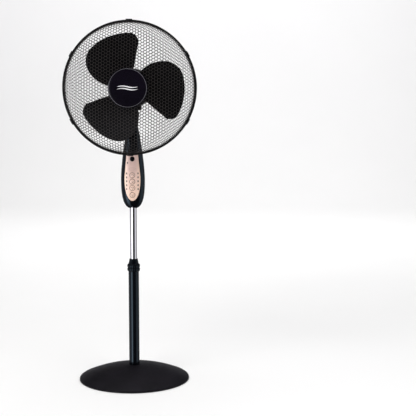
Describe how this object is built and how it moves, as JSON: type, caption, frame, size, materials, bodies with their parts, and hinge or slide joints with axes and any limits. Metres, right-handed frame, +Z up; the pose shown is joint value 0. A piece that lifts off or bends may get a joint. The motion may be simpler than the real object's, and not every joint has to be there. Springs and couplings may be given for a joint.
{
  "type": "pedestal fan",
  "caption": "Floor-standing fan: domed round base, height-adjustable pole, control housing with buttons, and a swinging, tilting caged rotor.",
  "frame": {"origin": "centre of the base on the floor, at the lowest point of the rubber feet", "axes": "+Z up along the pole; the fan blows towards -Y; +X is to the right seen from the front"},
  "size_m": [0.434, 0.372, 1.2053],
  "materials": {
    "satin_black": "satin moulded black",
    "gloss_black": "glossy moulded black",
    "painted_black": "gloss black paint",
    "chrome": "mirror plated",
    "champagne": "satin rose-gold metallic",
    "steel": "plain",
    "cast_iron": "raw",
    "rubber": "matt",
    "copper": "enamelled winding",
    "board": "printed board",
    "light": "milky light guide",
    "white_plastic": "natural moulded"
  },
  "bodies": {
    "stand": {"base_cover": "satin_black", "base_weight": "cast_iron", "base_plate": "painted_black", "pole_socket": "painted_black", "pole_plug": "steel", "base_bolt": "steel", "foot_1": "rubber", "foot_2": "rubber", "foot_3": "rubber", "foot_4": "rubber", "lower_tube": "painted_black", "tube_collet": "white_plastic"},
    "lock_nut": {"height_lock_nut": "satin_black"},
    "mast": {"upper_tube": "chrome", "guide_bush": "white_plastic", "swivel_post": "white_plastic", "swivel_bush": "white_plastic", "control_front_shell": "gloss_black", "control_rear_shell": "gloss_black", "control_panel": "champagne", "ir_window": "gloss_black", "left_light_guide": "light", "right_light_guide": "light", "standby_light": "light", "control_board": "board", "cable_gland": "rubber", "shell_screw_1": "steel", "shell_screw_2": "steel"},
    "swing_button": {"swing_button": "champagne"},
    "timer_button": {"timer_button": "champagne"},
    "speed_button": {"speed_button": "champagne"},
    "power_button": {"power_button": "champagne"},
    "swivel": {"swivel_bracket": "satin_black", "tilt_bolt": "steel"},
    "tilt_knob": {"tilt_knob": "satin_black"},
    "head": {"tilt_lug": "satin_black", "motor_front_housing": "satin_black", "motor_rear_housing": "satin_black", "stator": "copper", "front_bearing": "steel", "rear_bearing": "steel", "swing_motor": "steel", "rear_guard": "painted_black", "rear_rim": "painted_black", "guard_nut": "satin_black", "front_guard": "painted_black", "front_rim": "painted_black", "center_cap": "gloss_black", "rim_clip_1": "satin_black", "rim_clip_2": "satin_black", "rim_clip_3": "satin_black", "rim_clip_4": "satin_black", "rim_clip_5": "satin_black", "rim_clip_6": "satin_black"},
    "rotor": {"fan_blade": "gloss_black", "spinner_nut": "satin_black", "motor_shaft": "steel", "rotor_core": "steel"}
  },
  "joints": [
    {"name": "nut_turn", "type": "hinge", "parent": "stand", "child": "lock_nut", "pos_m": [0, 0, 0.385], "axis": [0, 0, 1], "range_deg": [0, 120]},
    {"name": "height_slide", "type": "slide", "parent": "stand", "child": "mast", "axis": [0, 0, 1], "range_m": [-0.14, 0.12]},
    {"name": "swing", "type": "hinge", "parent": "mast", "child": "swivel", "pos_m": [0, 0, 0.87], "axis": [0, 0, 1], "range_deg": [-40, 40]},
    {"name": "tilt", "type": "hinge", "parent": "swivel", "child": "head", "pos_m": [0, 0, 0.9], "axis": [1, 0, 0], "range_deg": [-20, 10]},
    {"name": "knob_turn", "type": "hinge", "parent": "swivel", "child": "tilt_knob", "pos_m": [-0.028, 0, 0.9], "axis": [1, 0, 0], "range_deg": [0, 180]},
    {"name": "rotor_spin", "type": "hinge", "parent": "head", "child": "rotor", "pos_m": [0, -0.1, 0.986], "axis": [0, -1, 0], "continuous": true},
    {"name": "swing_press", "type": "slide", "parent": "mast", "child": "swing_button", "axis": [0, 1, 0], "range_m": [0, 0.001], "stiffness_N_per_m": 800, "springref_m": -0.0008},
    {"name": "timer_press", "type": "slide", "parent": "mast", "child": "timer_button", "axis": [0, 1, 0], "range_m": [0, 0.001], "stiffness_N_per_m": 800, "springref_m": -0.0008},
    {"name": "speed_press", "type": "slide", "parent": "mast", "child": "speed_button", "axis": [0, 1, 0], "range_m": [0, 0.001], "stiffness_N_per_m": 800, "springref_m": -0.0008},
    {"name": "power_press", "type": "slide", "parent": "mast", "child": "power_button", "axis": [0, 1, 0], "range_m": [0, 0.001], "stiffness_N_per_m": 800, "springref_m": -0.0008}
  ]
}
